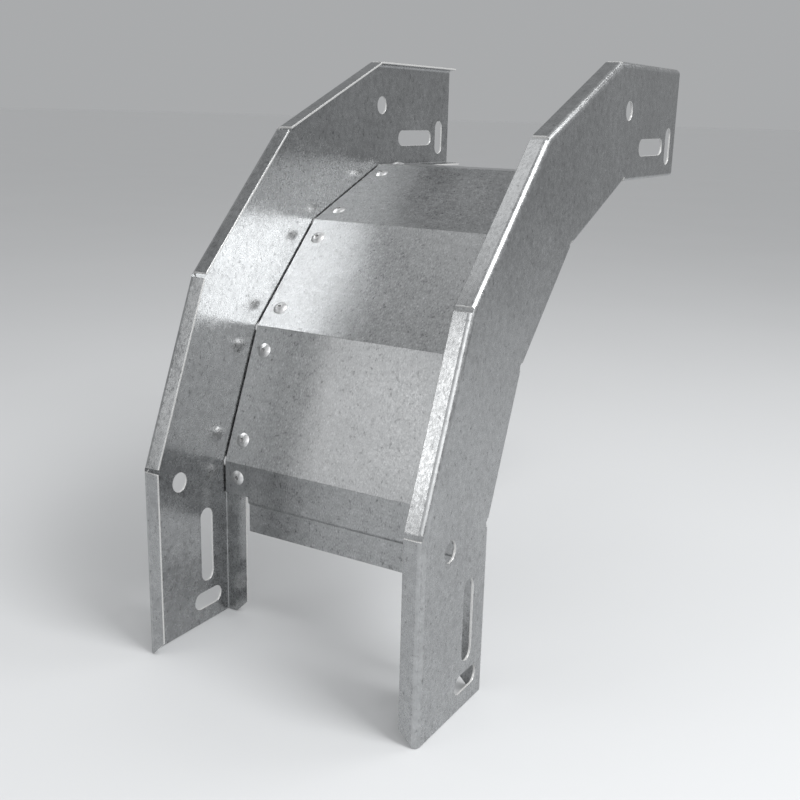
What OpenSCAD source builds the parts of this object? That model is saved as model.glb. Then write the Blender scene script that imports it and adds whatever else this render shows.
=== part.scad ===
// Outside riser bend for a sheet-metal cable tray.
// The lower end points down (Z = 0), the upper end points along +Y. Lips edge the outside of the curve
// and the floor plate follows its inside. X = 0 is the middle of the tray, and Y = 0 is the underside
// of the flanges at the lower end.

/* [Tray section] */
// Clear width between the two side walls
inner_w = 150; // [100:10:300]
// Height of a side wall, over its flange and its lip
wall_h = 60; // [56:2:110]
// Thickness of the galvanised sheet
sheet_t = 1.2; // [0.8:0.1:1.5]
// Inside radius of the folds at the flanges and in the floor plate
bend_r = 0.6; // [0.4:0.1:1.2]
// Inside radius of the folds at the lips
lip_bend_r = 1.8; // [0.6:0.1:2.4]
// Width of the stiffening lip, measured over the wall
lip_w = 9.5; // [8.5:0.5:14]
// Width of the flange under the floor plate, measured over the wall
flange_w = 14; // [13:0.5:18]

/* [Bend] */
// Angle that the whole bend turns through
bend_angle = 90; // [60:5:90]
// Number of fold lines that share the bend
folds = 4; // [3:1:5]
// Radius of the arc that the underside of the flanges touches
floor_r = 180; // [150:5:300]
// Length of each straight end, measured along the floor
straight_l = 83.5; // [75:0.5:130]

/* [Cut ends and reliefs] */
// Corner cut off each free corner of the lips
lip_cut = 7; // [2:0.5:7]
// Corner cut off each free corner of the flanges
flange_cut = 7; // [2:0.5:8]
// Gap between the lips of two neighbouring stretches
lip_gap = 2.6; // [2:0.2:6]
// How far from the outside of the wall the lip gaps stop
lip_gap_root = 1; // [0.6:0.1:2]
// Diameter of the relief hole at each fold, between wall and flange
relief_d = 3; // [2.4:0.2:5]
// How far the relief holes run into the flat of the wall
relief_over = 0.3; // [0.2:0.1:1]

/* [Coupling holes] */
// Diameter of the round bolt hole
bolt_hole_d = 10; // [7:0.5:11]
// Distance of the round hole from the end of the tray
bolt_hole_from_end = 82; // [72:0.5:84]
// Distance of the round hole from the top of the lip
bolt_hole_from_lip = 24; // [20:0.5:27]
// Width of both slots
slot_w = 9; // [7:0.5:10]
// Length of the slot that runs along the tray
long_slot_l = 40; // [25:1:44]
// Distance of the long slot's middle from the end of the tray
long_slot_from_end = 42.5; // [42:0.5:50]
// Length of the slot that runs across the wall
cross_slot_l = 20.5; // [14:0.5:24]
// Distance of the cross slot's middle from the end of the tray
cross_slot_from_end = 12.5; // [9:0.5:14]
// Distance of both slots' middle lines from the underside of the flange
slots_from_floor = 17; // [15.5:0.5:20]

/* [Floor plate] */
// Play between two surfaces that lie on each other
seat_gap = 0.02; // [0.01:0.01:0.1]
// Gap between the plate's edge and the fold at the foot of each side wall
plate_gap = 0.1; // [0:0.1:2.4]
// How far the full width of the plate runs on past the last fold
tab_l = 16.5; // [12:0.5:20]
// How far past the last fold the joggle starts
joggle_from_fold = 18.5; // [18:0.5:26]
// Slope of the joggle that drops the tongue by one sheet thickness
joggle_angle = 40; // [30:5:45]
// How far past the last fold the tongue ends
tongue_l = 35.5; // [30:0.5:50]
// Gap between the tongue's edge and the edge of each flange
tongue_gap = 2.4; // [1:0.2:8]

/* [Rivets] */
// Diameter of the set rivet's shank
rivet_d = 4; // [3:0.1:4.8]
// Diameter of the rivet's domed head
rivet_head_d = 7.6; // [6.5:0.1:9]
// Height of the rivet's domed head
rivet_head_h = 1.3; // [0.9:0.1:1.8]
// Diameter of the bulb that the rivet forms behind the flange
rivet_bulb_d = 5.8; // [5.4:0.1:6.6]
// Length of the bulb behind the flange
rivet_bulb_l = 4.2; // [3.4:0.1:5.5]
// Diameter of the mandrel left inside the rivet
mandrel_d = 2.2; // [1.6:0.1:2.5]
// Diameter of the mandrel's head
mandrel_head_d = 3.5; // [3:0.1:4]
// Length of the mandrel's head
mandrel_head_l = 1.7; // [1:0.1:2]
// Depth of the snapped mandrel below the crown of the rivet's head
mandrel_break_depth = 0.8; // [0.3:0.1:1.2]
// Clearance around the shank and around the mandrel
rivet_fit = 0.05; // [0.03:0.01:0.1]
// Distance of the rivets from the outside of the side wall
rivet_from_wall = 10; // [8:0.5:11]
// Distance of the rivets from the folds, on the sloping stretches
rivet_from_fold = 12; // [8:0.5:16]
// Distance of the rivets from the folds, on the straight ends
end_rivet_from_fold = 7; // [5.5:0.5:9]

/* [Hidden] */
$fn = 96;
fold_angle = bend_angle / folds;
facet_l = 2 * floor_r * tan(fold_angle / 2);
outer_w = inner_w + 2 * sheet_t;
plate_w = inner_w - 2 * (bend_r + plate_gap);
tongue_w = outer_w - 2 * (flange_w + tongue_gap);
fold_outer_r = bend_r + sheet_t;
lip_outer_r = lip_bend_r + sheet_t;
relief_h = fold_outer_r + relief_over;
relief_mid_h = fold_outer_r / 2;
plate_h = sheet_t + seat_gap;
grip = plate_h + sheet_t + seat_gap;
dome_r = (pow(rivet_head_d / 2, 2) + pow(rivet_head_h, 2)) / (2 * rivet_head_h);
bulb_edge_r = 0.8;
mandrel_seat_depth = 0.7;
arc_steps = 6;
lip_run_on = 1;
through = 1;

// One entry per rivet along a side: [stretch that carries it, distance along that stretch]
rivet_spots = concat(
    [[0, straight_l - end_rivet_from_fold]],
    [for (k = [1:folds - 1]) each [[k, rivet_from_fold], [k, facet_l - rivet_from_fold]]],
    [[folds, end_rivet_from_fold]]
);
sides = ["left", "right"];

// The floor's side view is a row of straight stretches, numbered 0 to folds
function heading(k) = k * fold_angle;
function along(k) = [sin(heading(k)), cos(heading(k))];
function towards_lip(k) = [-cos(heading(k)), sin(heading(k))];
function stretch_l(k) = k == 0 || k == folds ? straight_l : facet_l;
function corner(k) = k == 0 ? [0, 0] : corner(k - 1) + stretch_l(k - 1) * along(k - 1);

// A line at height h above the floor runs this much further to meet its neighbour at a fold
function mitre(h) = h * tan(fold_angle / 2);
function line_start(k, h) = k == 0 ? 0 : -mitre(h);
function line_end(k, h) = stretch_l(k) + (k == folds ? 0 : mitre(h));
function point_at(k, h) =
    k > folds ? corner(k) + h * towards_lip(folds) : corner(k) + h * towards_lip(k) + line_start(k, h) * along(k);

// Frame of one stretch: Z along the tray, -Y towards the lips, Y = 0 at the flange's underside
module on_stretch(k) {
    translate([0, corner(k)[0], corner(k)[1]]) rotate([-heading(k), 0, 0]) children();
}

// Frame of an end (0 lower, 1 upper), with Z running into the tray from its end
module from_end(end) {
    on_stretch(end * folds)
        translate([0, 0, end * straight_l]) mirror([0, 0, end]) children();
}

// Draws a side view, whose x is Y and whose y is Z, as thick as w along X
module across_tray(w) {
    rotate([90, 0, 90]) linear_extrude(w) children();
}

module on_side(side) {
    mirror([side == "right" ? 1 : 0, 0, 0]) translate([-outer_w / 2, 0, 0]) children();
}

// Free end of a folded edge, in [distance from the wall, distance along the tray]
function cut_tip(w, z, cut, inwards) = [[w - cut, z], [w, z + inwards * cut]];
function mitred_tip(w, z, inwards) = [[w, z + inwards * mitre(w - fold_outer_r)]];
function notched_tip(w, z, root, inwards, depth) =
    [[root, z], [root, z + inwards * depth], [w, z + inwards * depth]];
function reversed(list) = [for (i = [len(list) - 1:-1:0]) list[i]];

// Section of a strip folded square off the wall, with a root that runs down inside the wall
module fold_section(w, inner_r) {
    outer_r = inner_r + sheet_t;
    root_l = relief_over + outer_r;
    translate([0, -outer_r - root_l]) square([sheet_t, root_l]);
    translate([outer_r, -outer_r]) intersection() {
        difference() {
            circle(outer_r);
            circle(inner_r);
        }
        translate([-outer_r, 0]) square(outer_r);
    }
    translate([outer_r, -sheet_t]) square([w - outer_r, sheet_t]);
}

// The folded strip between z_from and z_to, with its outside at Y = 0 and its two ends trimmed
module folded_edge(inner_r, z_from, z_to, tip_from, tip_to) {
    w = max([for (tip = concat(tip_from, tip_to)) tip[0]]);
    intersection() {
        translate([0, 0, z_from - through])
            linear_extrude(z_to - z_from + 2 * through) fold_section(w + through, inner_r);
        translate([0, through, 0]) rotate([90, 0, 0]) linear_extrude(wall_h)
            polygon(concat([[-through, z_from]], tip_from, reversed(tip_to), [[-through, z_to]]));
    }
}

module flange(k) {
    z_from = k == 0 ? 0 : relief_d / 2;
    z_to = stretch_l(k) - (k == folds ? 0 : relief_d / 2);
    on_stretch(k) folded_edge(
        bend_r, z_from, z_to,
        k == 0 ? cut_tip(flange_w, z_from, flange_cut, 1) : mitred_tip(flange_w, z_from, 1),
        k == folds ? cut_tip(flange_w, z_to, flange_cut, -1) : mitred_tip(flange_w, z_to, -1)
    );
}

// Frame of a lip, with the outside of the lip at Y = 0 and the wall at negative Y
module on_lip(k) {
    on_stretch(k) translate([0, -wall_h, 0]) mirror([0, 1, 0]) children();
}

// All that lies under the outside of a lip and its fold, which trims the neighbouring lips
module under_lip(k) {
    reach = straight_l + facet_l + wall_h;
    on_lip(k) translate([0, 0, -reach]) linear_extrude(3 * reach) {
        translate([lip_outer_r, -lip_outer_r]) circle(lip_outer_r);
        translate([lip_outer_r, -reach]) square([lip_w + through, reach]);
        translate([0, -reach]) square([lip_outer_r + through, reach - lip_outer_r]);
    }
}

// The lips of neighbouring stretches join in the first part of the fold, up to the root of the gap
module lip(k) {
    z_from = line_start(k, wall_h) - (k == 0 ? 0 : lip_run_on);
    z_to = line_end(k, wall_h) + (k == folds ? 0 : lip_run_on);
    gap_depth = lip_run_on + lip_gap / 2;
    intersection() {
        on_lip(k) folded_edge(
            lip_bend_r, z_from, z_to,
            k == 0 ? cut_tip(lip_w, z_from, lip_cut, 1) : notched_tip(lip_w, z_from, lip_gap_root, 1, gap_depth),
            k == folds ? cut_tip(lip_w, z_to, lip_cut, -1) : notched_tip(lip_w, z_to, lip_gap_root, -1, gap_depth)
        );
        under_lip(max(k - 1, 0));
        under_lip(min(k + 1, folds));
    }
}

module web() {
    inside = [for (k = [0:folds + 1]) point_at(k, relief_h)];
    outside = [for (k = [0:folds + 1]) point_at(k, wall_h - lip_outer_r - relief_over)];
    across_tray(sheet_t) polygon(concat(inside, reversed(outside)));
}

module wall_hole(d) {
    translate([-through, 0, 0]) rotate([0, 90, 0]) cylinder(d = d, h = sheet_t + 2 * through);
}

// Slot through the wall with round ends, along Z
module wall_slot(l) {
    reach = (l - slot_w) / 2;
    for (end = [-1, 1]) translate([0, 0, end * reach]) wall_hole(slot_w);
    translate([-through, -slot_w / 2, -reach]) cube([sheet_t + 2 * through, slot_w, 2 * reach]);
}

module coupling_holes() {
    translate([0, bolt_hole_from_lip - wall_h, bolt_hole_from_end]) wall_hole(bolt_hole_d);
    translate([0, -slots_from_floor, long_slot_from_end]) wall_slot(long_slot_l);
    translate([0, -slots_from_floor, cross_slot_from_end]) rotate([90, 0, 0]) wall_slot(cross_slot_l);
}

// Frame of a rivet: its axis is Z, the flange's underside is Z = 0 and its head points to the lips
module at_rivet(i) {
    on_stretch(rivet_spots[i][0])
        translate([rivet_from_wall, 0, rivet_spots[i][1]]) rotate([90, 0, 0]) children();
}

module rivet_holes() {
    for (i = [0:len(rivet_spots) - 1]) at_rivet(i)
        translate([0, 0, -through]) cylinder(r = rivet_d / 2 + rivet_fit, h = grip + 2 * through);
}

// One blank: web, five lips and five flanges for the four folds
module side_wall(side) {
    color("#a3a7aa") on_side(side) difference() {
        union() {
            web();
            for (k = [0:folds]) {
                flange(k);
                lip(k);
            }
        }
        for (k = [1:folds])
            translate([0, point_at(k, relief_mid_h)[0], point_at(k, relief_mid_h)[1]]) wall_hole(relief_d);
        for (end = [0, 1]) from_end(end) coupling_holes();
        rivet_holes();
    }
}

// Side view of a folded sheet, walked along its underside from fold to fold. Each step is
// [straight length, turn after it]; a turn to the left is positive, and h = 0 is the underside.
function left_of(a) = [-sin(a), cos(a)];
function fold_centre(p, a, turn) = p + (turn < 0 ? -bend_r : fold_outer_r) * left_of(a);
function fold_reach(h, turn) = turn < 0 ? bend_r + h : h - fold_outer_r;
function after_fold(p, a, turn) =
    turn == 0 ? p : fold_centre(p, a, turn) + fold_reach(0, turn) * left_of(a + turn);
function fold_arc(p, a, turn, h) = turn == 0 ? [p + h * left_of(a)] : [
    for (j = [0:arc_steps])
        fold_centre(p, a, turn) + fold_reach(h, turn) * left_of(a + turn * j / arc_steps)
];
function face_line(steps, h, p, a, i = 0) = i == len(steps) ? [] :
    let (q = p + steps[i][0] * [cos(a), sin(a)], turn = steps[i][1])
        concat(fold_arc(q, a, turn, h), face_line(steps, h, after_fold(q, a, turn), a + turn, i + 1));

module folded_sheet(steps, start) {
    function face(h) = concat([start + h * left_of(90)], face_line(steps, h, start, 90));
    polygon(concat(face(0), reversed(face(sheet_t))));
}

// The plate lies on the flanges; its tongues drop to the flanges' level through a joggle
module floor_plate() {
    joggle_r = bend_r + sheet_t / 2;
    slope_l = (plate_h - 2 * joggle_r * (1 - cos(joggle_angle))) / sin(joggle_angle);
    joggle_l = 2 * joggle_r * sin(joggle_angle) + slope_l * cos(joggle_angle);
    tongue_flat_l = tongue_l - joggle_from_fold - joggle_l;
    fold_axis_h = plate_h - bend_r;
    lead_l = joggle_from_fold + mitre(fold_axis_h);
    middle_l = facet_l + 2 * mitre(fold_axis_h);
    steps = concat(
        [[tongue_flat_l, joggle_angle], [slope_l, -joggle_angle], [lead_l, -fold_angle]],
        [for (k = [2:folds]) [middle_l, -fold_angle]],
        [[lead_l, -joggle_angle], [slope_l, joggle_angle], [tongue_flat_l, 0]]
    );
    notch_w = plate_w;
    notch_l = straight_l - tab_l;
    color("#aeb2b4") difference() {
        translate([-plate_w / 2, 0, 0]) across_tray(plate_w)
            folded_sheet(steps, [0, straight_l - tongue_l]);
        for (end = [0, 1]) from_end(end) for (side = sides) mirror([side == "right" ? 1 : 0, 0, 0])
            translate([-tongue_w / 2 - notch_w, -grip - through, -through])
                cube([notch_w, grip + 2 * through, notch_l + through]);
        for (side = sides) on_side(side) rivet_holes();
    }
}

// Set blind rivet: domed head on the plate, shank through both sheets, bulb behind the flange
module rivet(side, i) {
    bulb_r = rivet_bulb_d / 2;
    color("#c9cccd") on_side(side) at_rivet(i) rotate_extrude() difference() {
        union() {
            intersection() {
                translate([0, grip + rivet_head_h - dome_r]) circle(dome_r);
                translate([0, grip]) square([rivet_head_d, rivet_head_h]);
            }
            translate([0, -bulb_edge_r]) square([rivet_d / 2, grip + bulb_edge_r]);
            translate([0, -rivet_bulb_l]) square([bulb_r - bulb_edge_r, rivet_bulb_l - seat_gap]);
            translate([0, bulb_edge_r - rivet_bulb_l])
                square([bulb_r, rivet_bulb_l - seat_gap - 2 * bulb_edge_r]);
            for (y = [-bulb_edge_r - seat_gap, bulb_edge_r - rivet_bulb_l])
                translate([bulb_r - bulb_edge_r, y]) circle(bulb_edge_r);
        }
        translate([0, -rivet_bulb_l - through])
            square([mandrel_d / 2 + rivet_fit, rivet_bulb_l + grip + rivet_head_h + 2 * through]);
        translate([0, -rivet_bulb_l - through])
            square([mandrel_head_d / 2 + rivet_fit, mandrel_seat_depth + through]);
        translate([-dome_r, -dome_r]) square([dome_r, 3 * dome_r]);
    }
}

// What stays of the mandrel: its head pulled into the bulb, its stem snapped off below the crown
module mandrel(side, i) {
    seat = mandrel_seat_depth - rivet_bulb_l;
    stem_end = grip + rivet_head_h - mandrel_break_depth;
    color("#7d8184") on_side(side) at_rivet(i) rotate_extrude() {
        translate([0, seat]) square([mandrel_d / 2, stem_end - seat]);
        translate([0, seat - mandrel_head_l]) square([mandrel_head_d / 2, mandrel_head_l]);
    }
}

for (side = sides)
    side_wall(side);
floor_plate();
for (side = sides) for (i = [1:len(rivet_spots)])
    rivet(side, i - 1);
for (side = sides) for (i = [1:len(rivet_spots)])
    mandrel(side, i - 1);
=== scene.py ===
"""Looks of the cable tray bend: galvanised sheet, sheared edges, set blind rivets, studio and camera."""
import math

import bmesh
import bpy
from mathutils import Matrix, Vector
from mathutils.bvhtree import BVHTree


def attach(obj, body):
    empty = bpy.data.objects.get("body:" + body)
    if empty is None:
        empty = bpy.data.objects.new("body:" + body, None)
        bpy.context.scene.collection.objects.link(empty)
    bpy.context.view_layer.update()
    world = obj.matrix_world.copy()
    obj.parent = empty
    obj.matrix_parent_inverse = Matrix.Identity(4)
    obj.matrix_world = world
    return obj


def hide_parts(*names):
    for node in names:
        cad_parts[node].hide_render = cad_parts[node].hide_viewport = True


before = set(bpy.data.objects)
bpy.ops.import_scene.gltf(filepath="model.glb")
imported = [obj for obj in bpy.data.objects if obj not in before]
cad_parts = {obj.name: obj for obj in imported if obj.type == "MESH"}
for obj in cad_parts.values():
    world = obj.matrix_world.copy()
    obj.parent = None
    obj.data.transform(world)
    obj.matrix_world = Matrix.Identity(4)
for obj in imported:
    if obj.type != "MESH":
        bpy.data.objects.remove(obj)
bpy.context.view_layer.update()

MM = 0.001

# Sheet
SHEET_T = 1.2 * MM
WELD = 0.002 * MM                  # points closer than this become one
CUT_DEPTH = 1.2 * SHEET_T          # a cut face has more metal than this behind it
BEND_STRIP = 1.2 * MM              # the faces round a bend are narrower than this
FLAT_ANGLE = math.radians(0.4)     # faces that differ by less are one flat face
SHARP_ANGLE = math.radians(30)     # edges that turn by more are shaded as sharp
CUT_ANGLE = math.radians(50)       # edges that turn by more are rounded
EDGE_ROUND = 0.22 * MM
EDGE_SEGMENTS = 3
FLAT_WEIGHT = 100                  # how strongly large faces keep their own shading
SKIN, CUT = 0, 1                   # material numbers on a sheet
# Layer on the points of the bends, which carries their wear and their painted highlight
WORN_AND_HIGHLIT_BEND_LAYER = "bend_wear_and_highlight"                  # the points' layer that marks the bends

# Zinc coat, width of each pattern
CRYSTAL_SIZE = 1.3 * MM
DASH_SIZE = 1.2 * MM
FLECK_SIZE = 2.4 * MM
MOTTLE_SIZE = 4 * MM
CLOUD_SIZE = 32 * MM
CRYSTAL_STRETCH = (1.9, 1.0, 1.0)  # crystals and dashes are this much narrower across the tray
FLECK_STRETCH = (1.2, 1.2, 0.8)    # flecks are a little longer along Z

# Zinc coat, brightness that each pattern adds to the sheet's own tone, as a share of it
CRYSTAL_SHADE = 0.06
LIGHT_DASH_SHADE = 0.45
DARK_DASH_SHADE = -0.35
FLECK_SHADE = -0.38
MOTTLE_SHADE = 0.12
CLOUD_SHADE = 0.07
# Bends: brighter partly from wear of the zinc, partly as a painted highlight along the bend
BEND_HIGHLIGHT_AND_WEAR_SHADE = 0.15

# Zinc coat, roughness that each pattern adds
CRYSTAL_ROUGH = 0.05
DASH_ROUGH = 0.05
MOTTLE_ROUGH = 0.03
CLOUD_ROUGH = 0.04
BEND_ROUGH = 0.12

# Zinc coat, relief
CRYSTAL_TILT = 0.006
DASH_BUMP = 0.15

# Ranges of a pattern's value: all of it, and what a noise mostly keeps to
ALL = (0.0, 1.0)
USUAL = (0.3, 0.7)

# Ranges of the noise over which a dash or a fleck goes from none to full
LIGHT_DASH = (0.55, 0.70)
DARK_DASH = (0.45, 0.30)
DARK_FLECK = (0.41, 0.30)

# Sheared edge
SHEAR_SIZE = 0.35 * MM
SHEAR_TINT = (1.0, 1.0, 0.99)
SHEAR_TONE = (0.56, 0.72)
SHEAR_ROUGH = (0.36, 0.50)
SHEAR_METALLIC = 0.5
SHEAR_BUMP = 0.1

# Rivets and mandrels, as the scuffs' noise goes from low to high
SCUFF_TONE = (0.82, 1.08)          # shares of the metal's own tone
SCUFF_ROUGH = (-0.06, 0.08)        # added to its own roughness
SCUFF_BUMP = 0.2

# Tints, and how deep the relief of every metal is
ZINC_TINT = (0.985, 1.0, 1.01)
NO_TINT = (1.0, 1.0, 1.0)
MID_COLOUR = (0.5, 0.5, 0.5)
BUMP_DEPTH = 0.02 * MM

# Camera, from a fit of the part's own corners to the photo
CAMERA_AT = Vector((266.5, -403.8, 261.1)) * MM
CAMERA_AZIMUTH = math.radians(30.54)
CAMERA_DIP = math.radians(15.31)
CAMERA_ROLL = math.radians(1.46)
SENSOR_W = 36.0
LENS = 47.61
CAMERA_NEAR = 10 * MM

# Floor and backdrop, in metres
FLOOR_COLOUR = (0.55, 0.56, 0.57)
FLOOR_MOTTLE = (0.985, 1.0)
FLOOR_MOTTLE_SIZE = 0.25
FLOOR_ROUGHNESS = 0.7
FLOOR_SIZE = 60.0
FLOOR_DROP = 0.3 * MM
SKY_COLOUR = (0.40, 0.407, 0.414)
AMBIENT = 0.72

# Places about the part that the lamps are aimed at, in metres
MIDDLE = (-0.02, 0.05, 0.17)
LOWER_LEFT = (-0.05, 0.03, 0.12)
LOWER_RIGHT = (0.07, -0.04, 0.13)
UPPER_LEFT = (-0.05, 0.10, 0.22)
UPPER_RIGHT = (0.07, 0.08, 0.22)

# Lamps, each with its place, its aim, its width and height in metres and its power in watts
LAMPS = {
    "key": ((0.68, -0.10, 1.00), MIDDLE, (0.44, 0.44), 9.8),
    "front_fill": ((-0.365, -0.843, 0.537), LOWER_RIGHT, (0.10, 0.30), 0.42),
    "left_fill": ((-0.57, -0.77, 0.51), LOWER_LEFT, (0.25, 0.30), 0.5),
    "lip_glow": ((0.12, -0.95, 0.55), LOWER_RIGHT, (0.6, 0.25), 0.45),
    "right_fill": ((0.75, -0.85, 0.58), LOWER_LEFT, (0.7, 0.45), 3.0),
    "back_light": ((0.50, 0.50, 1.00), UPPER_LEFT, (0.35, 0.35), 2.0),
    "overhead": ((-0.35, -0.02, 1.12), UPPER_RIGHT, (0.3, 0.3), 0.35),
}


# Node helpers

def node(tree, kind, **settings):
    made = tree.nodes.new(kind)
    for key, value in settings.items():
        setattr(made, key, value)
    return made


def feed(tree, value, socket):
    """Gives the socket a plain value, or a link if the value is another node's output."""
    if isinstance(value, bpy.types.NodeSocket):
        tree.links.new(value, socket)
    else:
        socket.default_value = value


def new_material(name):
    """An empty material with its node tree and its shader."""
    made = bpy.data.materials.new(name)
    made.use_nodes = True
    tree = made.node_tree
    tree.nodes.clear()
    output = node(tree, "ShaderNodeOutputMaterial")
    shader = node(tree, "ShaderNodeBsdfPrincipled")
    feed(tree, shader.outputs["BSDF"], output.inputs["Surface"])
    return made, tree, shader


def maths(tree, operation, a, b):
    made = node(tree, "ShaderNodeMath", operation=operation)
    feed(tree, a, made.inputs[0])
    feed(tree, b, made.inputs[1])
    return made.outputs[0]


def vectors(tree, operation, a, b):
    made = node(tree, "ShaderNodeVectorMath", operation=operation)
    feed(tree, a, made.inputs[0])
    feed(tree, b, made.inputs[1])
    return made.outputs[0]


def times(tree, vector, factor):
    """A vector or colour times a number."""
    made = node(tree, "ShaderNodeVectorMath", operation="SCALE")
    feed(tree, vector, made.inputs[0])
    feed(tree, factor, made.inputs["Scale"])
    return made.outputs[0]


def unit(tree, vector):
    made = node(tree, "ShaderNodeVectorMath", operation="NORMALIZE")
    feed(tree, vector, made.inputs[0])
    return made.outputs[0]


def total(tree, *values):
    result = values[0]
    for value in values[1:]:
        result = maths(tree, "ADD", result, value)
    return result


def remap(tree, value, span, to):
    """The value moved from the range span to the range to, and held inside it."""
    made = node(tree, "ShaderNodeMapRange")
    feed(tree, value, made.inputs["Value"])
    for key, number in zip(("From Min", "From Max", "To Min", "To Max"), (*span, *to)):
        made.inputs[key].default_value = number
    return made.outputs["Result"]


def swing(tree, value, amount, span=USUAL):
    """From minus amount to plus amount, as the value goes through the range span."""
    return remap(tree, value, span, (-amount, amount))


def place(tree):
    """Where a point lies in the part's own frame."""
    return node(tree, "ShaderNodeTexCoord").outputs["Object"]


def noise(tree, where, size, detail=2.0, rough=0.5):
    """Noise whose blobs are about size wide."""
    made = node(tree, "ShaderNodeTexNoise")
    feed(tree, where, made.inputs["Vector"])
    made.inputs["Scale"].default_value = 1 / size
    made.inputs["Detail"].default_value = detail
    made.inputs["Roughness"].default_value = rough
    return made.outputs["Fac"]


def crystals(tree, where, size):
    """One random colour per zinc crystal of about this size."""
    made = node(tree, "ShaderNodeTexVoronoi", feature="F1")
    feed(tree, where, made.inputs["Vector"])
    made.inputs["Scale"].default_value = 1 / size
    return made.outputs["Color"]


def tilted_normal(tree, colours, tilt):
    """Surface normal, leaned a little by a random colour."""
    centred = vectors(tree, "SUBTRACT", colours, MID_COLOUR)
    normal = node(tree, "ShaderNodeNewGeometry").outputs["Normal"]
    return unit(tree, vectors(tree, "ADD", normal, times(tree, centred, tilt)))


def bump(tree, height, strength):
    """Relief from a height pattern. Its input Normal is free for a leaned normal."""
    made = node(tree, "ShaderNodeBump")
    made.inputs["Strength"].default_value = strength
    made.inputs["Distance"].default_value = BUMP_DEPTH
    feed(tree, height, made.inputs["Height"])
    return made


# Materials

def galvanised(name, tone, roughness, grain):
    """Zinc coat: small crystals that lean and shade differently, light and dark dashes, flecks and clouds.

    grain is how strongly crystals and dashes show. Where the sheet was bent, it is duller and brighter:
    partly zinc worn by the bending, partly a painted highlight along the bend.
    """
    made, tree, shader = new_material(name)
    where = place(tree)
    narrowed = vectors(tree, "MULTIPLY", where, CRYSTAL_STRETCH)
    lengthened = vectors(tree, "MULTIPLY", where, FLECK_STRETCH)
    spangle = crystals(tree, narrowed, CRYSTAL_SIZE)
    split = node(tree, "ShaderNodeSeparateColor")
    feed(tree, spangle, split.inputs["Color"])
    crystal = split.outputs["Red"]
    dash = noise(tree, narrowed, DASH_SIZE, detail=2.0, rough=0.6)
    fleck = noise(tree, lengthened, FLECK_SIZE, detail=3.0, rough=0.65)
    mottle = noise(tree, where, MOTTLE_SIZE, detail=3.0, rough=0.6)
    cloud = noise(tree, where, CLOUD_SIZE, detail=3.0, rough=0.55)
    bend_wear_and_highlight = node(tree, "ShaderNodeAttribute", attribute_name=WORN_AND_HIGHLIT_BEND_LAYER).outputs["Fac"]

    shade = total(
        tree,
        swing(tree, crystal, CRYSTAL_SHADE * grain, ALL),
        remap(tree, dash, LIGHT_DASH, (0.0, LIGHT_DASH_SHADE * grain)),
        remap(tree, dash, DARK_DASH, (0.0, DARK_DASH_SHADE * grain)),
        remap(tree, fleck, DARK_FLECK, (0.0, FLECK_SHADE)),
        swing(tree, mottle, MOTTLE_SHADE),
        swing(tree, cloud, CLOUD_SHADE),
        # painted highlight along the bends, together with wear of the zinc
        maths(tree, "MULTIPLY", bend_wear_and_highlight, BEND_HIGHLIGHT_AND_WEAR_SHADE),
        1.0,
    )
    feed(tree, times(tree, ZINC_TINT, maths(tree, "MULTIPLY", shade, tone)), shader.inputs["Base Color"])

    rough = total(
        tree,
        swing(tree, crystal, CRYSTAL_ROUGH, ALL),
        swing(tree, dash, DASH_ROUGH),
        swing(tree, mottle, MOTTLE_ROUGH),
        swing(tree, cloud, CLOUD_ROUGH),
        maths(tree, "MULTIPLY", bend_wear_and_highlight, BEND_ROUGH),
        roughness,
    )
    feed(tree, rough, shader.inputs["Roughness"])
    shader.inputs["Metallic"].default_value = 1.0

    relief = bump(tree, dash, DASH_BUMP)
    feed(tree, tilted_normal(tree, spangle, CRYSTAL_TILT), relief.inputs["Normal"])
    feed(tree, relief.outputs["Normal"], shader.inputs["Normal"])
    return made


def sheared(name):
    """Bare cut edge of the sheet: brighter and half matt, with fine shear marks."""
    made, tree, shader = new_material(name)
    marks = noise(tree, place(tree), SHEAR_SIZE, detail=3.0, rough=0.6)
    feed(tree, times(tree, SHEAR_TINT, remap(tree, marks, USUAL, SHEAR_TONE)), shader.inputs["Base Color"])
    feed(tree, remap(tree, marks, USUAL, SHEAR_ROUGH), shader.inputs["Roughness"])
    shader.inputs["Metallic"].default_value = SHEAR_METALLIC
    feed(tree, bump(tree, marks, SHEAR_BUMP).outputs["Normal"], shader.inputs["Normal"])
    return made


def drawn(name, tone, roughness, size):
    """Drawn or turned small metal, with light scuffs about size wide."""
    made, tree, shader = new_material(name)
    scuff = noise(tree, place(tree), size, detail=4.0, rough=0.65)
    bright = remap(tree, scuff, USUAL, [tone * share for share in SCUFF_TONE])
    rough = remap(tree, scuff, USUAL, [roughness + change for change in SCUFF_ROUGH])
    feed(tree, times(tree, NO_TINT, bright), shader.inputs["Base Color"])
    feed(tree, rough, shader.inputs["Roughness"])
    shader.inputs["Metallic"].default_value = 1.0
    feed(tree, bump(tree, scuff, SCUFF_BUMP).outputs["Normal"], shader.inputs["Normal"])
    return made


# Sheets

def mark_cut_faces(work):
    """Faces with more than a sheet's thickness of metal behind them were sheared or punched."""
    shape = BVHTree.FromBMesh(work)
    for face in work.faces:
        start = face.calc_center_median() - face.normal * WELD
        depth = shape.ray_cast(start, -face.normal)[3]
        face.material_index = CUT if depth is None or depth > CUT_DEPTH else SKIN


def strip_width(face):
    return face.calc_area() / max(edge.calc_length() for edge in face.edges)


def mark_bends(work):
    """Writes 1 on the points inside a bend, where only narrow faces of the skin meet, and 0 on the rest."""
    bend_wear_and_highlight = work.verts.layers.float.new(WORN_AND_HIGHLIT_BEND_LAYER)
    narrow = {face: strip_width(face) < BEND_STRIP for face in work.faces if face.material_index == SKIN}
    for vert in work.verts:
        skin = [narrow[face] for face in vert.link_faces if face in narrow]
        vert[bend_wear_and_highlight] = float(bool(skin) and all(skin))


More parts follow.
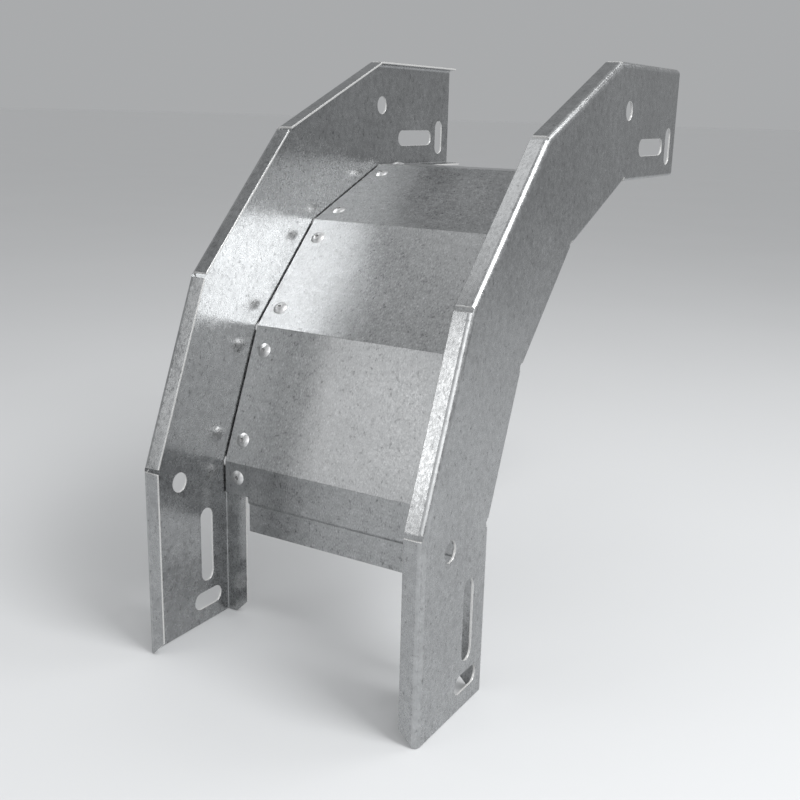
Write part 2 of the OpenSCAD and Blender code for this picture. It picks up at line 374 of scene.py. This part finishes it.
def dressed_sheet(name, bends_highlighted_and_worn):
    """The folded sheet of this CAD node with rounded cut edges. If asked, it also marks its bends, where
    wear of the zinc and a painted highlight go.
    """
    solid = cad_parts[name]
    mesh = bpy.data.meshes.new(name + "_sheet")
    work = bmesh.new()
    work.from_mesh(solid.data)
    bmesh.ops.remove_doubles(work, verts=work.verts, dist=WELD)
    mark_cut_faces(work)
    bmesh.ops.dissolve_limit(work, angle_limit=FLAT_ANGLE, verts=work.verts, edges=work.edges,
                             delimit={"MATERIAL"})
    if bends_highlighted_and_worn:
        mark_bends(work)
    for face in work.faces:
        face.smooth = True
    for edge in work.edges:
        edge.smooth = not edge.is_manifold or edge.calc_face_angle() < SHARP_ANGLE
    work.to_mesh(mesh)
    work.free()
    piece = bpy.data.objects.new(name + "_sheet", mesh)
    bpy.context.scene.collection.objects.link(piece)
    bevel = piece.modifiers.new("edge_round", "BEVEL")
    bevel.width = EDGE_ROUND
    bevel.use_clamp_overlap = False
    bevel.segments = EDGE_SEGMENTS
    bevel.limit_method = "ANGLE"
    bevel.angle_limit = CUT_ANGLE
    even = piece.modifiers.new("flat_faces", "WEIGHTED_NORMAL")
    even.mode = "FACE_AREA"
    even.weight = FLAT_WEIGHT
    even.keep_sharp = True
    return piece


def paint(piece, material):
    piece.data.materials.clear()
    piece.data.materials.append(material)


# Studio and camera

def softbox(name, at, target, size, power):
    light = bpy.data.lights.new(name, "AREA")
    light.shape = "RECTANGLE"
    light.size, light.size_y = size
    light.energy = power
    holder = bpy.data.objects.new(name, light)
    bpy.context.scene.collection.objects.link(holder)
    holder.location = Vector(at)
    holder.rotation_euler = (Vector(target) - Vector(at)).to_track_quat("-Z", "Y").to_euler()


def make_floor():
    half = FLOOR_SIZE / 2
    mesh = bpy.data.meshes.new("floor")
    corners = [(-half, -half), (half, -half), (half, half), (-half, half)]
    mesh.from_pydata([(x, y, -FLOOR_DROP) for x, y in corners], [], [(0, 1, 2, 3)])
    floor = bpy.data.objects.new("floor", mesh)
    bpy.context.scene.collection.objects.link(floor)
    made, tree, shader = new_material("floor_paper")
    mottle = remap(tree, noise(tree, place(tree), FLOOR_MOTTLE_SIZE), USUAL, FLOOR_MOTTLE)
    feed(tree, times(tree, FLOOR_COLOUR, mottle), shader.inputs["Base Color"])
    shader.inputs["Roughness"].default_value = FLOOR_ROUGHNESS
    floor.data.materials.append(made)


def make_world():
    """White light all round. The camera, reflections and refraction see a grey backdrop instead."""
    world = bpy.data.worlds.new("studio")
    bpy.context.scene.world = world
    world.use_nodes = True
    tree = world.node_tree
    tree.nodes.clear()
    output = node(tree, "ShaderNodeOutputWorld")
    path = node(tree, "ShaderNodeLightPath")
    seen = maths(tree, "MAXIMUM", path.outputs["Is Camera Ray"],
                 maths(tree, "MAXIMUM", path.outputs["Is Glossy Ray"], path.outputs["Is Transmission Ray"]))
    ambient = node(tree, "ShaderNodeBackground")
    ambient.inputs["Color"].default_value = (1, 1, 1, 1)
    ambient.inputs["Strength"].default_value = AMBIENT
    backdrop = node(tree, "ShaderNodeBackground")
    backdrop.inputs["Color"].default_value = (*SKY_COLOUR, 1)
    mix = node(tree, "ShaderNodeMixShader")
    feed(tree, seen, mix.inputs["Fac"])
    feed(tree, ambient.outputs[0], mix.inputs[1])
    feed(tree, backdrop.outputs[0], mix.inputs[2])
    feed(tree, mix.outputs[0], output.inputs["Surface"])


def make_camera():
    """Camera at CAMERA_AT: turned to its azimuth, dipped below level, then rolled about its own axis."""
    a, e, r = CAMERA_AZIMUTH, CAMERA_DIP, CAMERA_ROLL
    ahead = Vector((-math.sin(a) * math.cos(e), math.cos(a) * math.cos(e), -math.sin(e)))
    level = Vector((math.cos(a), math.sin(a), 0))
    above = level.cross(ahead)
    right = math.cos(r) * level + math.sin(r) * above
    up = -math.sin(r) * level + math.cos(r) * above
    data = bpy.data.cameras.new("camera")
    data.sensor_width = SENSOR_W
    data.lens = LENS
    data.clip_start = CAMERA_NEAR
    camera = bpy.data.objects.new("camera", data)
    bpy.context.scene.collection.objects.link(camera)
    turn = Matrix((right, up, -ahead)).transposed()
    camera.matrix_world = Matrix.Translation(CAMERA_AT) @ turn.to_4x4()
    bpy.context.scene.camera = camera


make_camera()
make_floor()
make_world()
for lamp, (at, target, size, power) in LAMPS.items():
    softbox(lamp, at, target, size, power)
bpy.context.scene.view_settings.view_transform = "Standard"

# The walls' zinc is a little darker in tone than the floor plate's: painted shade. Its smoother,
# finer-grained coat is real.
wall_zinc = galvanised("wall_zinc", tone=0.38, roughness=0.25, grain=0.35)
plate_zinc = galvanised("plate_zinc", tone=0.41, roughness=0.40, grain=1.0)
cut_steel = sheared("cut_steel")
rivet_metal = drawn("rivet_aluminium", tone=0.82, roughness=0.42, size=1.2 * MM)
mandrel_metal = drawn("mandrel_steel", tone=0.30, roughness=0.40, size=0.6 * MM)

for sheet, zinc, slot in (
    ("side_wall_left", wall_zinc, "wall_zinc"),
    ("side_wall_right", wall_zinc, "wall_zinc"),
    ("floor_plate", plate_zinc, "plate_zinc"),
):
    # the walls' bends are marked for wear of the zinc and a painted highlight
    piece = dressed_sheet(sheet, bends_highlighted_and_worn=zinc is wall_zinc)
    for material in (zinc, cut_steel):
        piece.data.materials.append(material)
    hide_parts(sheet)
    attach(piece, "root")

for name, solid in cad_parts.items():
    if name.startswith("rivet"):
        paint(solid, rivet_metal)
    elif name.startswith("mandrel"):
        paint(solid, mandrel_metal)
